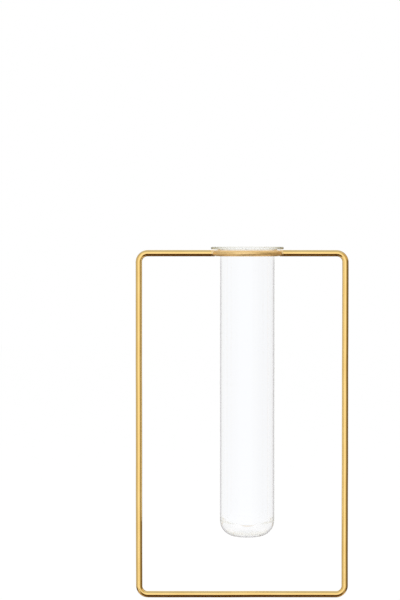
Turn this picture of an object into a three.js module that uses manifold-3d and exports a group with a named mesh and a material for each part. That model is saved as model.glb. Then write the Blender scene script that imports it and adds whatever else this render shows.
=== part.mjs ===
// Wall hanging vase: a clear glass tube that hangs by its flared lip in a wire ring.
// The ring is welded into the top bar of an upright rectangular wire frame.
// Millimetres, +Z up, front towards -Y.
// The origin is on the axis of the top bar, halfway between the two side bars.

import * as THREE from "three";
import { mergeVertices } from "three/addons/utils/BufferGeometryUtils.js";
import Module from "manifold-3d";

// Frame: one round wire, bent at four corners
const FRAME_WIDTH = 150; // over the outsides of the side bars
const FRAME_WIRE = 4.5; // diameter
const BEND_RADIUS = 6.2; // to the middle of the wire
const SPACE_BELOW_TUBE = 39.2; // clear height between the tube and the bottom bar

// Ring: a closed hoop of round wire in line with the top bar
const RING_WIRE = 4.2; // diameter
const RING_CLEARANCE = 0.4; // between the tube and the bore of the ring
const RING_OFFSET = 3.6; // to the right of the middle of the frame

// Weld beads that join the cut ends of the top bar to the ring
const WELD_LENGTH = 1.5; // from the ring to the end of the frame wire
const WELD_BULGE = 0.35; // proud of the frame wire
const WELD_WRAP = 0.8; // share of the ring wire's radius that the bead leaves bare

// Glass tube
const TUBE_DIAMETER = 38.5;
const TUBE_LENGTH = 204.5;
const TUBE_WALL = 1.8;
const FLARE_RADIUS = 3.1; // outside of the flare below the lip
const LIP_LAND = 2.55; // flat width of the lip past the flare
const BASE_THICKNESS = 6; // on the axis
const BASE_CROWN = 100; // outside radius of the slightly domed base
const BASE_KNUCKLE = 11; // outside radius between base and wall

// Gap left between pieces that touch
const SEAT_GAP = 0.3;

// Fineness of the facets
const WIRE_SIDES = 16;
const BEND_STEPS = 8;
const RING_STEPS = 64;
const TUBE_STEPS = 56;
const ARC_DIVISIONS = 3;

const wireRadius = FRAME_WIRE / 2;
const ringWireRadius = RING_WIRE / 2;
const tubeRadius = TUBE_DIAMETER / 2;
const ringRadius = tubeRadius + RING_CLEARANCE + ringWireRadius;
const weldedEnd = ringRadius + ringWireRadius + WELD_LENGTH;

const gold = { color: 0xe3bd72, roughness: 0.22, metalness: 1 };
const glass = { color: 0xeef3f3, roughness: 0.03, metalness: 0, transparent: true, opacity: 0.35 };

const wasm = await Module();
wasm.setup();

// Closed three.js geometry as a solid that can be cut
function toSolid(geometry) {
  const bare = geometry.clone();
  bare.deleteAttribute("normal");
  bare.deleteAttribute("uv");
  const merged = mergeVertices(bare);
  const corners = merged.index.array;
  const triangles = [];
  for (let i = 0; i < corners.length; i += 3) {
    const [a, b, c] = corners.slice(i, i + 3);
    if (a !== b && b !== c && c !== a) {
      triangles.push(a, b, c);
    }
  }
  const mesh = new wasm.Mesh({
    numProp: 3,
    vertProperties: merged.attributes.position.array,
    triVerts: new Uint32Array(triangles),
  });
  return new wasm.Manifold(mesh);
}

function toGeometry(solid) {
  const mesh = solid.getMesh();
  const geometry = new THREE.BufferGeometry();
  geometry.setAttribute("position", new THREE.BufferAttribute(mesh.vertProperties, 3));
  geometry.setIndex(new THREE.BufferAttribute(mesh.triVerts, 1));
  geometry.computeVertexNormals();
  return geometry;
}

function piece(name, geometry, finish) {
  const mesh = new THREE.Mesh(geometry, new THREE.MeshStandardMaterial(finish));
  mesh.name = name;
  return mesh;
}

// A line in the XZ plane for a section to follow, with one step along each straight
// and a few round each bend
class BentLine extends THREE.Curve {
  constructor(path) {
    super();
    this.stations = path.curves.flatMap((curve) => {
      const steps = curve.isLineCurve ? 1 : BEND_STEPS;
      return Array.from({ length: steps }, (unused, i) => ({ curve, t: i / steps }));
    });
    this.stations.push({ curve: path.curves.at(-1), t: 1 });
    this.steps = this.stations.length - 1;
  }

  station(u) {
    return this.stations[Math.round(u * this.steps)];
  }

  getPointAt(u) {
    const { curve, t } = this.station(u);
    const { x, y } = curve.getPoint(t);
    return new THREE.Vector3(x, 0, y);
  }

  getTangentAt(u) {
    const { curve, t } = this.station(u);
    const { x, y } = curve.getTangent(t);
    return new THREE.Vector3(x, 0, y).normalize();
  }
}

// Section of the tube, from the middle of the base up the outside, over the lip and down
// the inside. Heights are measured from the top of the lip.
function tubeSection() {
  const flareCentre = new THREE.Vector2(tubeRadius + FLARE_RADIUS, -FLARE_RADIUS - TUBE_WALL);
  const lipEdge = TUBE_WALL / 2;
  const crownHeight = BASE_CROWN - TUBE_LENGTH;
  const outside = dish(tubeRadius, BASE_KNUCKLE, BASE_CROWN, crownHeight);
  const inside = dish(
    tubeRadius - TUBE_WALL,
    BASE_KNUCKLE - TUBE_WALL,
    BASE_CROWN - BASE_THICKNESS,
    crownHeight,
  );
  const quarter = Math.PI / 2;
  const path = new THREE.Path();
  path.absarc(0, crownHeight, outside.crown, -quarter, outside.turn, false);
  path.absarc(outside.x, outside.y, outside.knuckle, outside.turn, 0, false);
  path.absarc(flareCentre.x, flareCentre.y, FLARE_RADIUS, Math.PI, quarter, true);
  path.absarc(flareCentre.x + LIP_LAND, -lipEdge, lipEdge, -quarter, quarter, false);
  path.absarc(flareCentre.x, flareCentre.y, FLARE_RADIUS + TUBE_WALL, quarter, Math.PI, false);
  path.absarc(inside.x, inside.y, inside.knuckle, 0, inside.turn, true);
  path.absarc(0, crownHeight, inside.crown, inside.turn, -quarter, true);
  return path.getPoints(ARC_DIVISIONS);
}

// Middle of the knuckle arc that runs from a wall into a domed base, and the angle at
// which the two arcs meet
function dish(wall, knuckle, crown, crownHeight) {
  const lean = Math.asin((wall - knuckle) / (crown - knuckle));
  return {
    crown,
    knuckle,
    x: wall - knuckle,
    y: crownHeight - (crown - knuckle) * Math.cos(lean),
    turn: lean - Math.PI / 2,
  };
}

// Height of the top of the lip once the flare has come down onto the ring
function seatHeight(section) {
  const reach = ringWireRadius + SEAT_GAP;
  const over = section.filter((point) => Math.abs(point.x - ringRadius) < reach);
  return Math.max(...over.map((point) => Math.sqrt(reach ** 2 - (point.x - ringRadius) ** 2) - point.y));
}

// The frame wire runs from the left of the ring, round the rectangle, to the right of it
function frameWire(drop) {
  const side = (FRAME_WIDTH - FRAME_WIRE) / 2;
  const run = side - BEND_RADIUS;
  const low = BEND_RADIUS - drop;
  const quarter = Math.PI / 2;
  const path = new THREE.Path();
  path.moveTo(RING_OFFSET - weldedEnd, 0);
  path.lineTo(-run, 0);
  path.absarc(-run, -BEND_RADIUS, BEND_RADIUS, quarter, 2 * quarter, false);
  path.absarc(-run, low, BEND_RADIUS, 2 * quarter, 3 * quarter, false);
  path.absarc(run, low, BEND_RADIUS, 3 * quarter, 4 * quarter, false);
  path.absarc(run, -BEND_RADIUS, BEND_RADIUS, 0, quarter, false);
  path.lineTo(RING_OFFSET + weldedEnd, 0);
  const line = new BentLine(path);
  const section = new THREE.Shape().absarc(0, 0, wireRadius, 0, 2 * Math.PI, false);
  const options = { extrudePath: line, steps: line.steps, curveSegments: WIRE_SIDES / 2 };
  return new THREE.ExtrudeGeometry(section, options);
}

// A bead that runs from the end of the frame wire and saddles the outside of the ring.
// It is turned about the bar's axis and lies on the +X side of the ring.
function weldBead(ringSpace) {
  const start = ringRadius + ringWireRadius * WELD_WRAP;
  const end = weldedEnd - SEAT_GAP;
  const half = (end - start) / 2;
  const bulgeRadius = (half ** 2 + WELD_BULGE ** 2) / (2 * WELD_BULGE);
  const spread = Math.asin(half / bulgeRadius);
  const path = new THREE.Path();
  path.moveTo(0, start);
  path.lineTo(wireRadius, start);
  path.absarc(wireRadius + WELD_BULGE - bulgeRadius, start + half, bulgeRadius, -spread, spread, false);
  path.lineTo(0, end);
  const bead = new THREE.LatheGeometry(path.getPoints(ARC_DIVISIONS), WIRE_SIDES);
  bead.rotateZ(-Math.PI / 2);
  return toGeometry(toSolid(bead).subtract(ringSpace));
}

const section = tubeSection();
const lipTop = seatHeight(section);
const bottomBar = TUBE_LENGTH - lipTop + SPACE_BELOW_TUBE + wireRadius;

const hoop = new THREE.TorusGeometry(ringRadius, ringWireRadius, WIRE_SIDES, RING_STEPS);
const ringSpace = toSolid(
  new THREE.TorusGeometry(ringRadius, ringWireRadius + SEAT_GAP, WIRE_SIDES, RING_STEPS),
);
const leftBead = piece("weld_left", weldBead(ringSpace), gold);
leftBead.rotation.z = Math.PI;

const holder = new THREE.Group();
holder.position.x = RING_OFFSET;
holder.add(piece("tube_ring", hoop, gold));
holder.add(piece("weld_right", weldBead(ringSpace), gold));
holder.add(leftBead);

const tube = piece("glass_tube", new THREE.LatheGeometry(section, TUBE_STEPS).rotateX(Math.PI / 2), glass);
tube.position.z = lipTop;
holder.add(tube);

const vase = new THREE.Group();
vase.add(piece("frame_wire", frameWire(bottomBar), gold));
vase.add(holder);

export default vase;
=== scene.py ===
"""Wall hanging vase: a clear glass tube in a ring, welded into a gold wire frame.

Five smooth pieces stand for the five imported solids, in a plain white studio.
Metres, +Z up, front towards -Y.
"""

import math

import bpy
import numpy as np
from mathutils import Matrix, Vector


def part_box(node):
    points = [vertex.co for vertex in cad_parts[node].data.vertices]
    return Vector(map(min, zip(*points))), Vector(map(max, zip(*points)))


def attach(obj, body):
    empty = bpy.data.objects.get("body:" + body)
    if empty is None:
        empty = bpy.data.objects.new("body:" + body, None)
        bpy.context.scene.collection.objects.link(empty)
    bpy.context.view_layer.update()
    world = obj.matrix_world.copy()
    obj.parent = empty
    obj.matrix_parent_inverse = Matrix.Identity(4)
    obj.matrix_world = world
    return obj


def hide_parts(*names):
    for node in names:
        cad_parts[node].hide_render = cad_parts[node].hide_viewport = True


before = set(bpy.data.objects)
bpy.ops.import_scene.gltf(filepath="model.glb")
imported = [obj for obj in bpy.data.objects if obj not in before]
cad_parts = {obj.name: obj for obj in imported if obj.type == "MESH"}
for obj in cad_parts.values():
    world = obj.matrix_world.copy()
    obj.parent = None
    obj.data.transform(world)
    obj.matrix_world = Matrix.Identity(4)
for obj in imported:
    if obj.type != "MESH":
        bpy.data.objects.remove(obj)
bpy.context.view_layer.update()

MM = 0.001
FULL_TURN = 2 * math.pi
QUARTER = math.pi / 2

# Sizes that the boxes of the solids give
wire_low, wire_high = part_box("frame_wire")
hoop_low, hoop_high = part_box("tube_ring")
tube_low, tube_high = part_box("glass_tube")
bead_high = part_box("weld_right")[1]
WIRE_RADIUS = (wire_high.y - wire_low.y) / 2
SIDE_BAR = wire_high.x - WIRE_RADIUS
TOP_BAR = wire_high.z - WIRE_RADIUS
BOTTOM_BAR = wire_low.z + WIRE_RADIUS
HOOP_WIRE = (hoop_high.z - hoop_low.z) / 2  # radius
HOOP_X = (hoop_low.x + hoop_high.x) / 2
HOOP_RADIUS = (hoop_high.x - hoop_low.x) / 2 - HOOP_WIRE
LIP_RADIUS = (tube_high.x - tube_low.x) / 2
LIP_TOP = tube_high.z
TUBE_FOOT = tube_low.z

# Sizes that the boxes don't give, the same as the solids have
BEND_RADIUS = 6.2 * MM
SEAT_GAP = 0.3 * MM  # between the end of the bar and the solid of its weld bead
BAR_END = bead_high.x - HOOP_X + SEAT_GAP  # from the middle of the ring
TUBE_RADIUS = 19.25 * MM
TUBE_WALL = 1.8 * MM
FLARE_RADIUS = 3.1 * MM
BASE_THICKNESS = 6 * MM
BASE_CROWN = 100 * MM
BASE_KNUCKLE = 11 * MM

# Fineness
WIRE_SIDES = 40
BEND_STEPS = 24
BAR_STEP = 4 * MM
HOOP_STEPS = 192
TUBE_STEPS = 192
ARC_STEP = math.radians(6)
CROWN_POINTS = 9
SHARP_ANGLE = math.radians(50)

UV_LAYER = "along"  # length along a wire or along the tube's profile, and share of a turn round it


def mesh_piece(name, points, faces, uvs=None):
    """A smooth piece from points and faces, with one (u, v) for each corner of each face."""
    mesh = bpy.data.meshes.new(name)
    points = [tuple(map(float, point)) for point in points]
    faces = [tuple(map(int, face)) for face in faces]
    mesh.from_pydata(points, [], faces)
    if uvs is not None:
        layer = mesh.uv_layers.new(name=UV_LAYER)
        layer.data.foreach_set("uv", np.asarray(uvs, np.float32).ravel())
    mesh.shade_smooth()
    mesh.set_sharp_from_angle(angle=SHARP_ANGLE)
    mesh.update()
    piece = bpy.data.objects.new(name, mesh)
    bpy.context.scene.collection.objects.link(piece)
    return piece


def sweep(name, stations, closed):
    """A tube of rings, one at each station along a line.

    A station is (centre, first axis, second axis, length so far), and its two axes are as
    long as the ring's two radii.
    """
    turns = FULL_TURN * np.arange(WIRE_SIDES) / WIRE_SIDES
    points = []
    for centre, first, second, _ in stations:
        points += [centre + math.cos(a) * first + math.sin(a) * second for a in turns]
    lengths = [length for *_, length in stations]
    lengths.append(lengths[-1] + BAR_STEP)
    count = len(stations)
    faces, uvs = [], []
    for i in range(count if closed else count - 1):
        here, after = i * WIRE_SIDES, (i + 1) % count * WIRE_SIDES
        start, end = lengths[i], lengths[i + 1]
        for k in range(WIRE_SIDES):
            beside = (k + 1) % WIRE_SIDES
            low, high = k / WIRE_SIDES, (k + 1) / WIRE_SIDES
            faces.append((here + k, here + beside, after + beside, after + k))
            uvs += [(start, low), (start, high), (end, high), (end, low)]
    if not closed:
        faces.append(tuple(reversed(range(WIRE_SIDES))))
        faces.append(tuple(range((count - 1) * WIRE_SIDES, count * WIRE_SIDES)))
        uvs += [(0, 0)] * (2 * WIRE_SIDES)
    return mesh_piece(name, points, faces, uvs)


# Wire frame: one drawn wire, bent at four corners, a little flat on the outside of each bend
FLATTENED = 0.035  # share of the wire's radius, at the middle of a bend
WIDENED = 0.6 * FLATTENED  # in the other direction
WAVER = 0.03 * MM  # how far the drawn wire strays from a true line
WAVES_OUTWARD = [(61, 0.4), (143, 2.1)]  # a long and a short wave: radians per metre, at the start
WAVES_ACROSS = [(47, 1.3), (118, 0.2)]
SHORT_WAVE = 0.6  # height of the short wave against the long one
HELD_TRUE = 12 * MM  # length at each end of the wire over which the waver dies out


def straight(start, end):
    """Points between two ends of a straight run, without the ends."""
    over, up = end[0] - start[0], end[1] - start[1]
    count = max(2, round(math.hypot(over, up) / BAR_STEP))
    shares = [step / count for step in range(1, count)]
    return [(start[0] + share * over, start[1] + share * up, start[2], 0.0) for share in shares]


def frame_course():
    """Points along the middle of the wire, from the left of the ring round to its right.

    A point is (x, z, heading, bend), where bend goes from 0 on a straight run to 1 at the
    middle of a corner.
    """
    run = SIDE_BAR - BEND_RADIUS
    corners = [
        (-run, TOP_BAR - BEND_RADIUS, 1),
        (-run, BOTTOM_BAR + BEND_RADIUS, 2),
        (run, BOTTOM_BAR + BEND_RADIUS, 3),
        (run, TOP_BAR - BEND_RADIUS, 4),
    ]
    course = [(HOOP_X - BAR_END, TOP_BAR, 2 * QUARTER, 0.0)]
    for x, z, turn in corners:
        for step in range(BEND_STEPS + 1):
            share = step / BEND_STEPS
            angle = (turn + share) * QUARTER
            here = (x + BEND_RADIUS * math.cos(angle), z + BEND_RADIUS * math.sin(angle))
            if step == 0:
                course += straight(course[-1], here)
            course.append((*here, angle + QUARTER, math.sin(math.pi * share)))
    end = (HOOP_X + BAR_END, TOP_BAR)
    course += straight(course[-1], end)
    course.append((*end, course[-1][2], 0.0))
    return course


def two_waves(length, waves):
    """Height of a long and a short wave together, at a length along the wire."""
    long_wave, short_wave = [math.sin(length * pace + start) for pace, start in waves]
    return long_wave + SHORT_WAVE * short_wave


def wire_frame():
    course = frame_course()
    steps = [math.dist(a[:2], b[:2]) for a, b in zip(course, course[1:])]
    total = sum(steps)
    across = np.array((0.0, 1.0, 0.0))
    stations, length = [], 0.0
    for (x, z, heading, bend), step in zip(course, [0.0] + steps):
        length += step
        outward = np.array((math.cos(heading - QUARTER), 0.0, math.sin(heading - QUARTER)))
        stray = WAVER * min(1.0, length / HELD_TRUE, (total - length) / HELD_TRUE)
        centre = np.array((x, 0.0, z))
        centre = centre + stray * two_waves(length, WAVES_OUTWARD) * outward
        centre = centre + stray * two_waves(length, WAVES_ACROSS) * across
        first = WIRE_RADIUS * (1 - FLATTENED * bend) * outward
        second = WIRE_RADIUS * (1 + WIDENED * bend) * across
        stations.append((centre, first, second, length))
    return sweep("wire_frame", stations, closed=False)


def tube_hoop():
    down = np.array((0.0, 0.0, -1.0))
    stations = []
    for step in range(HOOP_STEPS):
        turn = FULL_TURN * step / HOOP_STEPS
        outward = np.array((math.cos(turn), math.sin(turn), 0.0))
        centre = np.array((HOOP_X, 0.0, 0.0)) + HOOP_RADIUS * outward
        stations.append((centre, HOOP_WIRE * outward, HOOP_WIRE * down, HOOP_RADIUS * turn))
    return sweep("tube_hoop", stations, closed=True)


# Weld beads: where bar and ring run into each other in a smooth fillet with a little ripple
BEAD_GRID = 0.16 * MM
BEAD_BLEND = 1.0 * MM
BEAD_SUNK = 0.03 * MM  # below the wires, where the bead has run out
BEAD_REACH = 0.9 * MM  # past the end of the bar
BEAD_START = HOOP_RADIUS + 0.25 * HOOP_WIRE  # from the middle of the ring
STUB_START = HOOP_RADIUS + 0.7 * HOOP_WIRE  # of the bar inside the bead
BEAD_HALF = 1.35 * WIRE_RADIUS  # half of the height and depth that the bead can have
GRID_HALF = 1.5 * WIRE_RADIUS
BEAD_RIPPLE = 0.025 * MM
# Waves round the bar, radians per metre along it, at the start, and the share of the ripple
RIPPLES = [(7, 2600, 0.0, 1.0), (4, -3900, 1.1, 0.7)]
SETTLE_ROUNDS = 3
SETTLE_NUDGE = 0.01 * MM
LEAST_SLOPE = 0.2  # squared


def bead_field(p):
    """Distance outside a bead on the +X side of a ring round the origin, negative inside."""
    x, y, z = p
    stub = np.maximum(np.hypot(y, z) - WIRE_RADIUS + BEAD_SUNK, STUB_START - x)
    ring = np.hypot(np.hypot(x, y) - HOOP_RADIUS, z) - HOOP_WIRE + BEAD_SUNK
    mix = np.clip(0.5 + 0.5 * (ring - stub) / BEAD_BLEND, 0, 1)
    filled = ring + mix * (stub - ring) - BEAD_BLEND * mix * (1 - mix)
    round_bar = np.arctan2(z, y)
    ripple = sum(
        share * np.sin(waves * round_bar + pace * x + start)
        for waves, pace, start, share in RIPPLES
    )
    # 4 * mix * (1 - mix) is 1 in the middle of the fillet and 0 outside it
    filled = filled + BEAD_RIPPLE * ripple * 4 * mix * (1 - mix)
    span = np.maximum(x - BAR_END - BEAD_REACH, BEAD_START - x)
    wide = np.maximum(np.abs(y), np.abs(z)) - BEAD_HALF
    return np.maximum(filled, np.maximum(span, wide))


def surface_net(field, low, high, step):
    """Points and quads on the zero level of a field over a grid.

    Each cell that the level passes through has one point, and each edge that it crosses
    has one quad, between the four cells round that edge.
    """
    axes = [np.arange(a, b + step, step) for a, b in zip(low, high)]
    grid = np.stack(np.meshgrid(*axes, indexing="ij"))
    value = field(grid)
    shape = np.array(value.shape) - 1
    total, count = np.zeros((3, *shape)), np.zeros(shape)

    def corner(array, offset):
        """What an array of the grid holds at one corner of each cell."""
        window = [slice(start, start + size) for start, size in zip(offset, shape)]
        return array[(..., *window)]

    for axis in range(3):
        for side in np.ndindex(2, 2):
            start = np.insert(np.array(side), axis, 0)
            end = np.insert(np.array(side), axis, 1)
            a, b = corner(value, start), corner(value, end)
            crossed = (a < 0) != (b < 0)
            share = np.where(crossed, a / np.where(crossed, a - b, 1), 0)
            total += crossed * (corner(grid, start) * (1 - share) + corner(grid, end) * share)
            count += crossed
    used = count > 0
    number = np.full(shape, -1)
    number[used] = np.arange(used.sum())
    points = (total[:, used] / count[used]).T
    faces = []
    for axis in range(3):
        others = [k for k in range(3) if k != axis]
        a, b = np.moveaxis(value, axis, 0)[:-1], np.moveaxis(value, axis, 0)[1:]
        for i, j, k in np.argwhere((a < 0) != (b < 0)):
            at = np.zeros(3, int)
            at[axis], at[others[0]], at[others[1]] = i, j, k
            quad = []
            for back in ((1, 1), (0, 1), (0, 0), (1, 0)):
                cell = at.copy()
                cell[others[0]] -= back[0]
                cell[others[1]] -= back[1]
                quad.append(number[tuple(cell)])
            outward = (a[i, j, k] < 0) == (axis != 1)
            faces.append(quad if outward else quad[::-1])
    return points, faces


def settle(points, field):
    """Points near the zero level of a field, moved onto it along the field's slope."""
    for _ in range(SETTLE_ROUNDS):
        value = field(points.T)
        nudged = [field(points.T + nudge[:, None]) for nudge in SETTLE_NUDGE * np.eye(3)]
        slope = np.stack([after - value for after in nudged]) / SETTLE_NUDGE
        points = points - (value * slope / np.maximum((slope**2).sum(0), LEAST_SLOPE)).T
    return points


def weld_bead(name, side):
    """The bead on the left (side -1) or on the right (side 1) of the ring."""
    low = (HOOP_RADIUS, -GRID_HALF, -GRID_HALF)
    high = (BAR_END + BEAD_REACH + 2 * BEAD_GRID, GRID_HALF, GRID_HALF)
    points, faces = surface_net(bead_field, low, high, BEAD_GRID)
    points = settle(points, bead_field)
    points[:, 0] *= side
    points[:, 0] += HOOP_X
    if side < 0:
        faces = [face[::-1] for face in faces]
    return mesh_piece(name, points, faces)


# Glass tube: a turned profile with a flared, fire polished lip and a thick, slightly domed base.
# It is a little uneven: share of the radius, waves round the tube, radians per metre up it and
# at the start.
UNEVEN = [(0.0012, 2, 60, 0.0), (0.0006, 5, 35, 1.7)]


def arc(x, z, radius, start, end):
    count = max(2, math.ceil(abs(end - start) / ARC_STEP))
    turns = np.linspace(start, end, count + 1)
    return [(x + radius * math.cos(a), z + radius * math.sin(a)) for a in turns]


def dish(wall, knuckle, crown, middle):
    """Half of a domed base from its middle out: a wide arc, then a tight one into the wall."""
    lean = math.asin((wall - knuckle) / (crown - knuckle))
    x = wall - knuckle
    z = middle - (crown - knuckle) * math.cos(lean)
    turns = np.linspace(0, lean, CROWN_POINTS)
    domed = [(crown * math.sin(a), middle - crown * math.cos(a)) for a in turns]
    return domed[:-1] + arc(x, z, knuckle, lean - QUARTER, 0)


def up_the_wall(radius, low, high):
    count = round((high - low) / BAR_STEP)
    return [(radius, low + (high - low) * step / count) for step in range(1, count)]


def tube_profile():
    """The tube's section: from the base up the outside, over the lip and down the inside."""
    flare_x = TUBE_RADIUS + FLARE_RADIUS
    flare_z = LIP_TOP - TUBE_WALL - FLARE_RADIUS
    lip = TUBE_WALL / 2
    bore = TUBE_RADIUS - TUBE_WALL
    middle = TUBE_FOOT + BASE_CROWN
    outside = dish(TUBE_RADIUS, BASE_KNUCKLE, BASE_CROWN, middle)
    inside = dish(bore, BASE_KNUCKLE - TUBE_WALL, BASE_CROWN - BASE_THICKNESS, middle)
    profile = outside + up_the_wall(TUBE_RADIUS, outside[-1][1], flare_z)
    profile += arc(flare_x, flare_z, FLARE_RADIUS, math.pi, QUARTER)
    profile += arc(LIP_RADIUS - lip, LIP_TOP - lip, lip, -QUARTER, QUARTER)
    profile += arc(flare_x, flare_z, FLARE_RADIUS + TUBE_WALL, QUARTER, math.pi)
    profile += up_the_wall(bore, inside[-1][1], flare_z)[::-1]
    return profile + inside[::-1]


def glass_vessel():
    profile = tube_profile()
    turns = FULL_TURN * np.arange(TUBE_STEPS) / TUBE_STEPS
    points = [(HOOP_X, 0.0, profile[0][1])]
    for radius, z in profile[1:-1]:
        stray = sum(
            share * np.sin(waves * turns + pace * z + start)
            for share, waves, pace, start in UNEVEN
        )
        reach = radius * (1 + stray)
        points += [(HOOP_X + r * math.cos(a), r * math.sin(a), z) for a, r in zip(turns, reach)]
    points.append((HOOP_X, 0.0, profile[-1][1]))
    rows = len(profile) - 2
    lengths = np.cumsum([0] + [math.dist(a, b) for a, b in zip(profile, profile[1:])])
    faces, uvs = [], []
    for k in range(TUBE_STEPS):
        beside = (k + 1) % TUBE_STEPS
        low, high = k / TUBE_STEPS, (k + 1) / TUBE_STEPS
        faces.append((0, 1 + beside, 1 + k))
        uvs += [(0, low), (lengths[1], high), (lengths[1], low)]
        for row in range(rows - 1):
            here, after = 1 + row * TUBE_STEPS, 1 + (row + 1) * TUBE_STEPS
            start, end = lengths[row + 1], lengths[row + 2]
            faces.append((here + k, here + beside, after + beside, after + k))
            uvs += [(start, low), (start, high), (end, high), (end, low)]
        last = 1 + (rows - 1) * TUBE_STEPS
        faces.append((last + k, last + beside, len(points) - 1))
        uvs += [(lengths[-2], low), (lengths[-2], high), (lengths[-1], high)]
    return mesh_piece("glass_vessel", points, faces, uvs)


# Gold plate
TONE_PATCHES = 55.0  # fineness of the noises, per metre
GLOSS_CLOUDS = 240.0
ORANGE_PEEL = 700.0
DRAWN_LINES = (8.0, 20.0)  # fineness along the wire, per metre, and round it, per turn
GOLD_BUMP = 0.03
GOLD_RELIEF = 0.02 * MM

# Clear glass
GLASS_INDEX = 1.47
GLASS_SMEARS = 90.0  # fineness, per metre
SMEAR_ROUGHNESS = 0.03
GLASS_LINES = (6.0, 34.0)  # fineness along the profile, per metre, and round it, per turn
GLASS_BUMP = 0.10
GLASS_RELIEF = 0.12 * MM
GLASS_BODY = (0.80, 0.80, 0.69)  # colour that the body of the glass leaves of white light
GLASS_DENSITY = 0.9
CLEAR = (0.985, 0.99, 1.0)  # colour of the glass looked straight through
# Painted shade on the glass where it is looked through edgeways, standing in for the dark
# surroundings seen in it there, with a gold-brown cast on the lip for the gold ring seen in it.
# By the length along the tube's profile from the middle of the base (the base, the wall, the lip
# and the inside): the colour of that painted shade, and how far the glass has turned from the eye
# where it begins to show
PAINTED_EDGE_SHADES = [
    (0.018, (0.72, 0.72, 0.75), 0.60),
    (0.034, (0.62, 0.62, 0.65), 0.60),
    (0.208, (0.62, 0.62, 0.65), 0.60),
    (0.212, CLEAR, 0.60),
    (0.217, CLEAR, 0.20),
    (0.219, (0.52, 0.46, 0.32), 0.20),
    (0.228, (0.52, 0.46, 0.32), 0.20),
    (0.231, CLEAR, 0.20),
]
PAINTED_SHADE_FULL = 0.72  # how far the glass has turned where the painted shade is full


def new_material(name):
    material = bpy.data.materials.new(name)
    material.use_nodes = True
    tree = material.node_tree
    return material, tree, tree.nodes["Principled BSDF"]


def add(tree, kind, inputs=(), **settings):
    """A node with its settings, and its inputs as (name, value or socket)."""
    node = tree.nodes.new(kind)
    for key, value in settings.items():
        setattr(node, key, value)
    for key, value in inputs:
        if isinstance(value, bpy.types.NodeSocket):
            tree.links.new(value, node.inputs[key])
        else:
            node.inputs[key].default_value = value
    return node


def spread(tree, value, low, high, start=0.3, end=0.7):
    """A value stretched from start..end, which is where most noise lies, to low..high."""
    taken = [("Value", value), ("From Min", start), ("From Max", end)]
    given = [("To Min", low), ("To Max", high)]
    return add(tree, "ShaderNodeMapRange", taken + given).outputs["Result"]


def along_piece(tree, per_length, per_turn):
    """Coordinates that run along a wire or along the tube's profile, and round it."""
    uv = add(tree, "ShaderNodeUVMap", uv_map=UV_LAYER).outputs["UV"]
    inputs = [("Vector", uv), ("Scale", (per_length, per_turn, 1.0))]
    return add(tree, "ShaderNodeMapping", inputs).outputs["Vector"]


def noise(tree, vector, scale, detail=3.0, rough=0.5):
    inputs = [("Vector", vector), ("Scale", scale), ("Detail", detail), ("Roughness", rough)]
    return add(tree, "ShaderNodeTexNoise", inputs).outputs["Fac"]


def relief(tree, shader, height, strength, distance):
    """A bump on the shader's surface."""
    inputs = [("Height", height), ("Strength", strength), ("Distance", distance)]
    bump = add(tree, "ShaderNodeBump", inputs)
    tree.links.new(bump.outputs["Normal"], shader.inputs["Normal"])


def gold(name, bright, deep, smooth, dull, drawn, metal=1.0):
    """Gold plate: patches of tone from bright to deep, clouds of gloss from smooth to dull.

    It has a slight orange peel, and fine lines along the wire where the wire was drawn.
    """
    material, tree, shader = new_material(name)
    place = add(tree, "ShaderNodeTexCoord").outputs["Object"]
    tone = spread(tree, noise(tree, place, TONE_PATCHES), 0.0, 1.0)
    colour = add(tree, "ShaderNodeMix", [("Factor", tone)], data_type="RGBA")
    colour.inputs["A"].default_value = (*bright, 1.0)
    colour.inputs["B"].default_value = (*deep, 1.0)
    tree.links.new(colour.outputs["Result"], shader.inputs["Base Color"])
    cloud = noise(tree, place, GLOSS_CLOUDS, detail=4.0, rough=0.6)
    gloss = spread(tree, cloud, smooth, dull)
    tree.links.new(gloss, shader.inputs["Roughness"])
    shader.inputs["Metallic"].default_value = metal
    height = noise(tree, place, ORANGE_PEEL, detail=2.0)
    if drawn:
        lines = noise(tree, along_piece(tree, *DRAWN_LINES), 1.0, rough=0.6)
        both = add(tree, "ShaderNodeMath", [(0, lines), (1, height)], operation="ADD")
        height = both.outputs[0]
    relief(tree, shader, height, GOLD_BUMP, GOLD_RELIEF)
    return material


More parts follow.
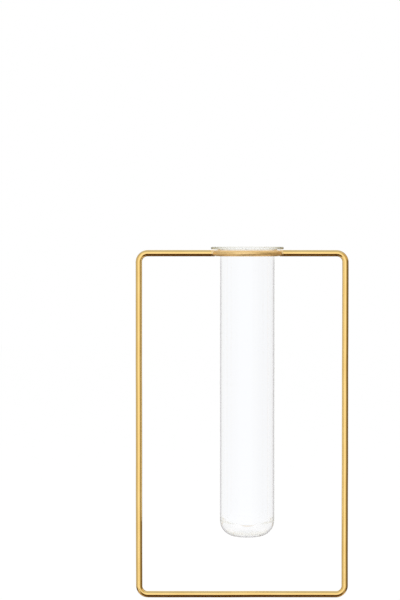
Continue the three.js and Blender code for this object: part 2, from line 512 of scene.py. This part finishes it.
def clear_glass():
    """Colourless soda glass with faint lines of drawing and faint smears.

    It has painted shade where it is looked through edgeways, grey on the base and wall and
    gold-brown on the lip, for the dark surroundings and the ring seen in it there.
    """
    material, tree, shader = new_material("clear_glass")
    place = add(tree, "ShaderNodeTexCoord").outputs["Object"]
    facing = add(tree, "ShaderNodeLayerWeight", [("Blend", 0.5)]).outputs["Facing"]
    along = along_piece(tree, 1.0, 1.0)
    length = add(tree, "ShaderNodeSeparateXYZ", [("Vector", along)]).outputs["X"]
    # painted shade: the glass is greyed, and the lip browned, where it turns from the eye
    painted_edge_shade = add(tree, "ShaderNodeValToRGB", [("Fac", length)])
    stops = painted_edge_shade.color_ramp.elements
    stops.remove(stops[0])
    for place_along, colour, turned in PAINTED_EDGE_SHADES:
        stops.new(place_along).color = (*colour, turned)
    edge = spread(tree, facing, 0.0, 1.0, start=painted_edge_shade.outputs["Alpha"], end=PAINTED_SHADE_FULL)
    tint = add(tree, "ShaderNodeMix", [("Factor", edge)], data_type="RGBA")
    tint.inputs["A"].default_value = (*CLEAR, 1.0)
    tree.links.new(painted_edge_shade.outputs["Color"], tint.inputs["B"])
    tree.links.new(tint.outputs["Result"], shader.inputs["Base Color"])
    shader.inputs["Transmission Weight"].default_value = 1.0
    shader.inputs["IOR"].default_value = GLASS_INDEX
    smear = noise(tree, place, GLASS_SMEARS, detail=4.0, rough=0.6)
    smear = spread(tree, smear, 0.0, SMEAR_ROUGHNESS, start=0.5, end=0.8)
    tree.links.new(smear, shader.inputs["Roughness"])
    lines = noise(tree, along_piece(tree, *GLASS_LINES), 1.0)
    relief(tree, shader, lines, GLASS_BUMP, GLASS_RELIEF)
    volume = add(tree, "ShaderNodeVolumeAbsorption")
    volume.inputs["Color"].default_value = (*GLASS_BODY, 1.0)
    volume.inputs["Density"].default_value = GLASS_DENSITY
    tree.links.new(volume.outputs["Volume"], tree.nodes["Material Output"].inputs["Volume"])
    return material


# The ring is more satin than the bars
wire_gold = gold(
    "gold_plate",
    bright=(0.97, 0.69, 0.27),
    deep=(0.93, 0.64, 0.23),
    smooth=0.08,
    dull=0.14,
    drawn=True,
)
hoop_gold = gold(
    "gold_plate_ring",
    bright=(0.99, 0.71, 0.34),
    deep=(0.96, 0.67, 0.30),
    smooth=0.38,
    dull=0.46,
    drawn=True,
    metal=0.85,
)
bead_gold = gold(
    "gold_plate_weld",
    bright=(0.98, 0.73, 0.38),
    deep=(0.94, 0.68, 0.33),
    smooth=0.28,
    dull=0.42,
    drawn=False,
)
glass = clear_glass()

PIECES = [
    (wire_frame(), "frame", "frame_wire", "gold_wire", wire_gold),
    (tube_hoop(), "frame", "tube_ring", "gold_wire", hoop_gold),
    (weld_bead("weld_bead_left", -1), "frame", "weld_left", "gold_weld", bead_gold),
    (weld_bead("weld_bead_right", 1), "frame", "weld_right", "gold_weld", bead_gold),
    (glass_vessel(), "tube", "glass_tube", "clear_glass", glass),
]
for piece, body, node, slot, material in PIECES:
    piece.data.materials.append(material)
    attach(piece, body)
    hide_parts(node)

# Studio: a pale floor, white surroundings and a soft lamp above
FLOOR = -0.42
FLOOR_HALF = 6
FLOOR_GRAIN = 40.0  # fineness, per metre
FLOOR_TONES = (0.44, 0.46)
FLOOR_GLOW = 0.76
SURROUNDINGS_LIGHT = 0.53  # their strength as a lamp; where they are seen it is 1
MOST_BOUNCES = 1024  # because light goes round and round in the lip and in the base

# Tent of cloth round the studio, which shows in metal and glass alone. Angles in degrees:
# headings from the front, positive to the right, and elevations.
TENT_MIDDLE = (0.0, 0.0, -0.12)
TENT_RADIUS = 1.9
TENT_STEP = 2
BELT = [  # heading, and the colour of the cloth there
    (-164, (0.30, 0.29, 0.27)),
    (-135, (0.50, 0.47, 0.40)),
    (-100, (0.64, 0.63, 0.60)),
    (-62, (0.68, 0.66, 0.62)),
    (-45, (0.82, 0.79, 0.72)),
    (-32, (1.10, 1.11, 1.16)),
    (16, (1.10, 1.11, 1.16)),
    (22, (0.80, 0.75, 0.64)),
    (38, (0.72, 0.66, 0.54)),
    (49, (0.28, 0.23, 0.15)),
    (65, (0.20, 0.16, 0.09)),
    (100, (0.20, 0.16, 0.10)),
    (164, (0.30, 0.26, 0.20)),
]
BELT_ABOVE = (0.62, 0.52, 0.38)  # on the right, above eye level
CEILING = (0.66, 0.71, 0.79)
GROUND = (0.09, 0.045, 0.012)
GROUND_BESIDE = (0.84, 0.68, 0.51)  # steeply below, on the left and right
OPENING = (-15, 40)  # elevations between which the tent is open behind
# Elevations and headings over which one colour of cloth runs into another
ABOVE_ELEVATIONS = (8, 18)
ABOVE_HEADINGS = (40, 55, 120, 150)
CEILING_ELEVATIONS = (43, 51)
GROUND_HEADINGS = (20, 32, 60, 80)  # to either side
GROUND_EDGES = (-16, -40, -40, -20)  # elevations of the ground's edge at those headings
GROUND_BLENDS = (2, 2, 2, 5)  # how far it runs into the belt, above the edge and below
BESIDE_ELEVATIONS = (-42, -30)
BESIDE_HEADINGS = (64, 90, 128, 142)  # to either side
RISE, FALL, RISE_AND_FALL = (0.0, 1.0), (1.0, 0.0), (0.0, 1.0, 1.0, 0.0)

scene = bpy.context.scene


def floor_material():
    material, tree, shader = new_material("pale_floor")
    place = add(tree, "ShaderNodeTexCoord").outputs["Object"]
    grain = spread(tree, noise(tree, place, FLOOR_GRAIN), *FLOOR_TONES)
    tint = add(tree, "ShaderNodeCombineColor", [("Red", grain), ("Green", grain), ("Blue", grain)])
    tree.links.new(tint.outputs["Color"], shader.inputs["Base Color"])
    shader.inputs["Roughness"].default_value = 0.9
    shader.inputs["Specular IOR Level"].default_value = 0.0
    glow = add(tree, "ShaderNodeEmission", [("Strength", FLOOR_GLOW)])
    inputs = [(0, shader.outputs["BSDF"]), (1, glow.outputs["Emission"])]
    both = add(tree, "ShaderNodeAddShader", inputs)
    tree.links.new(both.outputs["Shader"], tree.nodes["Material Output"].inputs["Surface"])
    return material


def pale_floor():
    signs = [(-1, -1), (1, -1), (1, 1), (-1, 1)]
    corners = [(x * FLOOR_HALF, y * FLOOR_HALF, FLOOR) for x, y in signs]
    floor = mesh_piece("floor", corners, [(0, 1, 2, 3)])
    floor.data.materials.append(floor_material())
    floor.visible_glossy = False


def cloth_colour(heading, elevation):
    headings, colours = zip(*BELT)
    belt = np.array([np.interp(heading, headings, channel) for channel in zip(*colours)])
    above = np.interp(elevation, ABOVE_ELEVATIONS, RISE)
    above = above * np.interp(heading, ABOVE_HEADINGS, RISE_AND_FALL)
    belt = belt + above * (np.array(BELT_ABOVE) - belt)
    up = np.interp(elevation, CEILING_ELEVATIONS, RISE)
    edge = np.interp(abs(heading), GROUND_HEADINGS, GROUND_EDGES)
    blend = np.interp(abs(heading), GROUND_HEADINGS, GROUND_BLENDS)
    down = np.interp(elevation, (edge - blend, edge + blend), FALL)
    beside = np.interp(abs(heading), BESIDE_HEADINGS, RISE_AND_FALL)
    beside = beside * np.interp(elevation, BESIDE_ELEVATIONS, FALL)
    ground = np.array(GROUND) + beside * (np.array(GROUND_BESIDE) - np.array(GROUND))
    return belt + up * (np.array(CEILING) - belt) + down * (ground - belt)


def cloth_material():
    material, tree, _ = new_material("tent_cloth")
    colour = add(tree, "ShaderNodeAttribute", attribute_name="shade").outputs["Color"]
    glow = add(tree, "ShaderNodeEmission", [("Color", colour), ("Strength", 1.0)])
    tree.links.new(glow.outputs["Emission"], tree.nodes["Material Output"].inputs["Surface"])
    return material


def tent():
    headings = np.arange(-180, 180 + TENT_STEP, TENT_STEP)
    elevations = np.arange(-90, 90 + TENT_STEP, TENT_STEP)
    points, colours, faces = [], [], []
    for elevation in elevations:
        for heading in headings:
            h, e = math.radians(heading), math.radians(elevation)
            way = np.array((math.cos(e) * math.sin(h), -math.cos(e) * math.cos(h), math.sin(e)))
            points.append(np.array(TENT_MIDDLE) + TENT_RADIUS * way)
            colours.append((*cloth_colour(heading, elevation), 1.0))
    wide = len(headings)
    for row in range(len(elevations) - 1):
        for column in range(wide - 1):
            first = row * wide + column
            behind = not BELT[0][0] <= headings[column] < BELT[-1][0]
            if not (behind and OPENING[0] <= elevations[row] < OPENING[1]):
                faces.append((first, first + wide, first + wide + 1, first + 1))
    cloth = mesh_piece("tent", points, faces)
    shade = cloth.data.color_attributes.new("shade", "FLOAT_COLOR", "POINT")
    shade.data.foreach_set("color", np.asarray(colours, np.float32).ravel())
    cloth.data.materials.append(cloth_material())
    for ray in ("camera", "diffuse", "transmission", "volume_scatter", "shadow"):
        setattr(cloth, "visible_" + ray, False)


def soft_lamp(name, place, aim, side, energy):
    lamp = bpy.data.lights.new(name, "AREA")
    lamp.size = side
    lamp.energy = energy
    panel = bpy.data.objects.new(name, lamp)
    panel.location = place
    panel.rotation_euler = (Vector(aim) - Vector(place)).to_track_quat("-Z", "Y").to_euler()
    for ray in ("camera", "glossy", "transmission"):
        setattr(panel, "visible_" + ray, False)
    scene.collection.objects.link(panel)


def studio_world():
    """White surroundings, weaker as a lamp than where they are seen, also in metal and glass."""
    world = bpy.data.worlds.new("studio")
    scene.world = world
    world.use_nodes = True
    tree = world.node_tree
    rays = add(tree, "ShaderNodeLightPath").outputs
    inputs = [(0, rays["Is Transmission Ray"]), (1, rays["Is Glossy Ray"])]
    clear = add(tree, "ShaderNodeMath", inputs, operation="MAXIMUM").outputs[0]
    inputs = [(0, rays["Is Camera Ray"]), (1, clear)]
    seen = add(tree, "ShaderNodeMath", inputs, operation="MAXIMUM").outputs[0]
    level = spread(tree, seen, SURROUNDINGS_LIGHT, 1.0, start=0.0, end=1.0)
    tree.links.new(level, tree.nodes["Background"].inputs["Strength"])
    tree.nodes["Background"].inputs["Color"].default_value = (1.0, 1.0, 1.0, 1.0)


pale_floor()
tent()
soft_lamp("top_lamp", place=(-0.5, -0.3, 1.3), aim=(0.0, 0.0, -0.1), side=1.0, energy=2.5)
studio_world()
scene.view_settings.view_transform = "Standard"
scene.cycles.max_bounces = MOST_BOUNCES
scene.cycles.glossy_bounces = MOST_BOUNCES
scene.cycles.transmission_bounces = MOST_BOUNCES

# Camera at the photograph's place: nearly level, a little left of the frame's middle
CAMERA_PLACE = (-0.02967, -1.300, 0.009)
CAMERA_DIP = 1.848  # degrees below level
FOCAL_PIXELS = 1845.8
LONG_SIDE = 600
camera = bpy.data.cameras.new("camera")
camera.sensor_width = 36.0
camera.lens = FOCAL_PIXELS / LONG_SIDE * camera.sensor_width
viewer = bpy.data.objects.new("camera", camera)
viewer.location = CAMERA_PLACE
viewer.rotation_euler = (math.radians(90 - CAMERA_DIP), 0.0, 0.0)
scene.collection.objects.link(viewer)
scene.camera = viewer
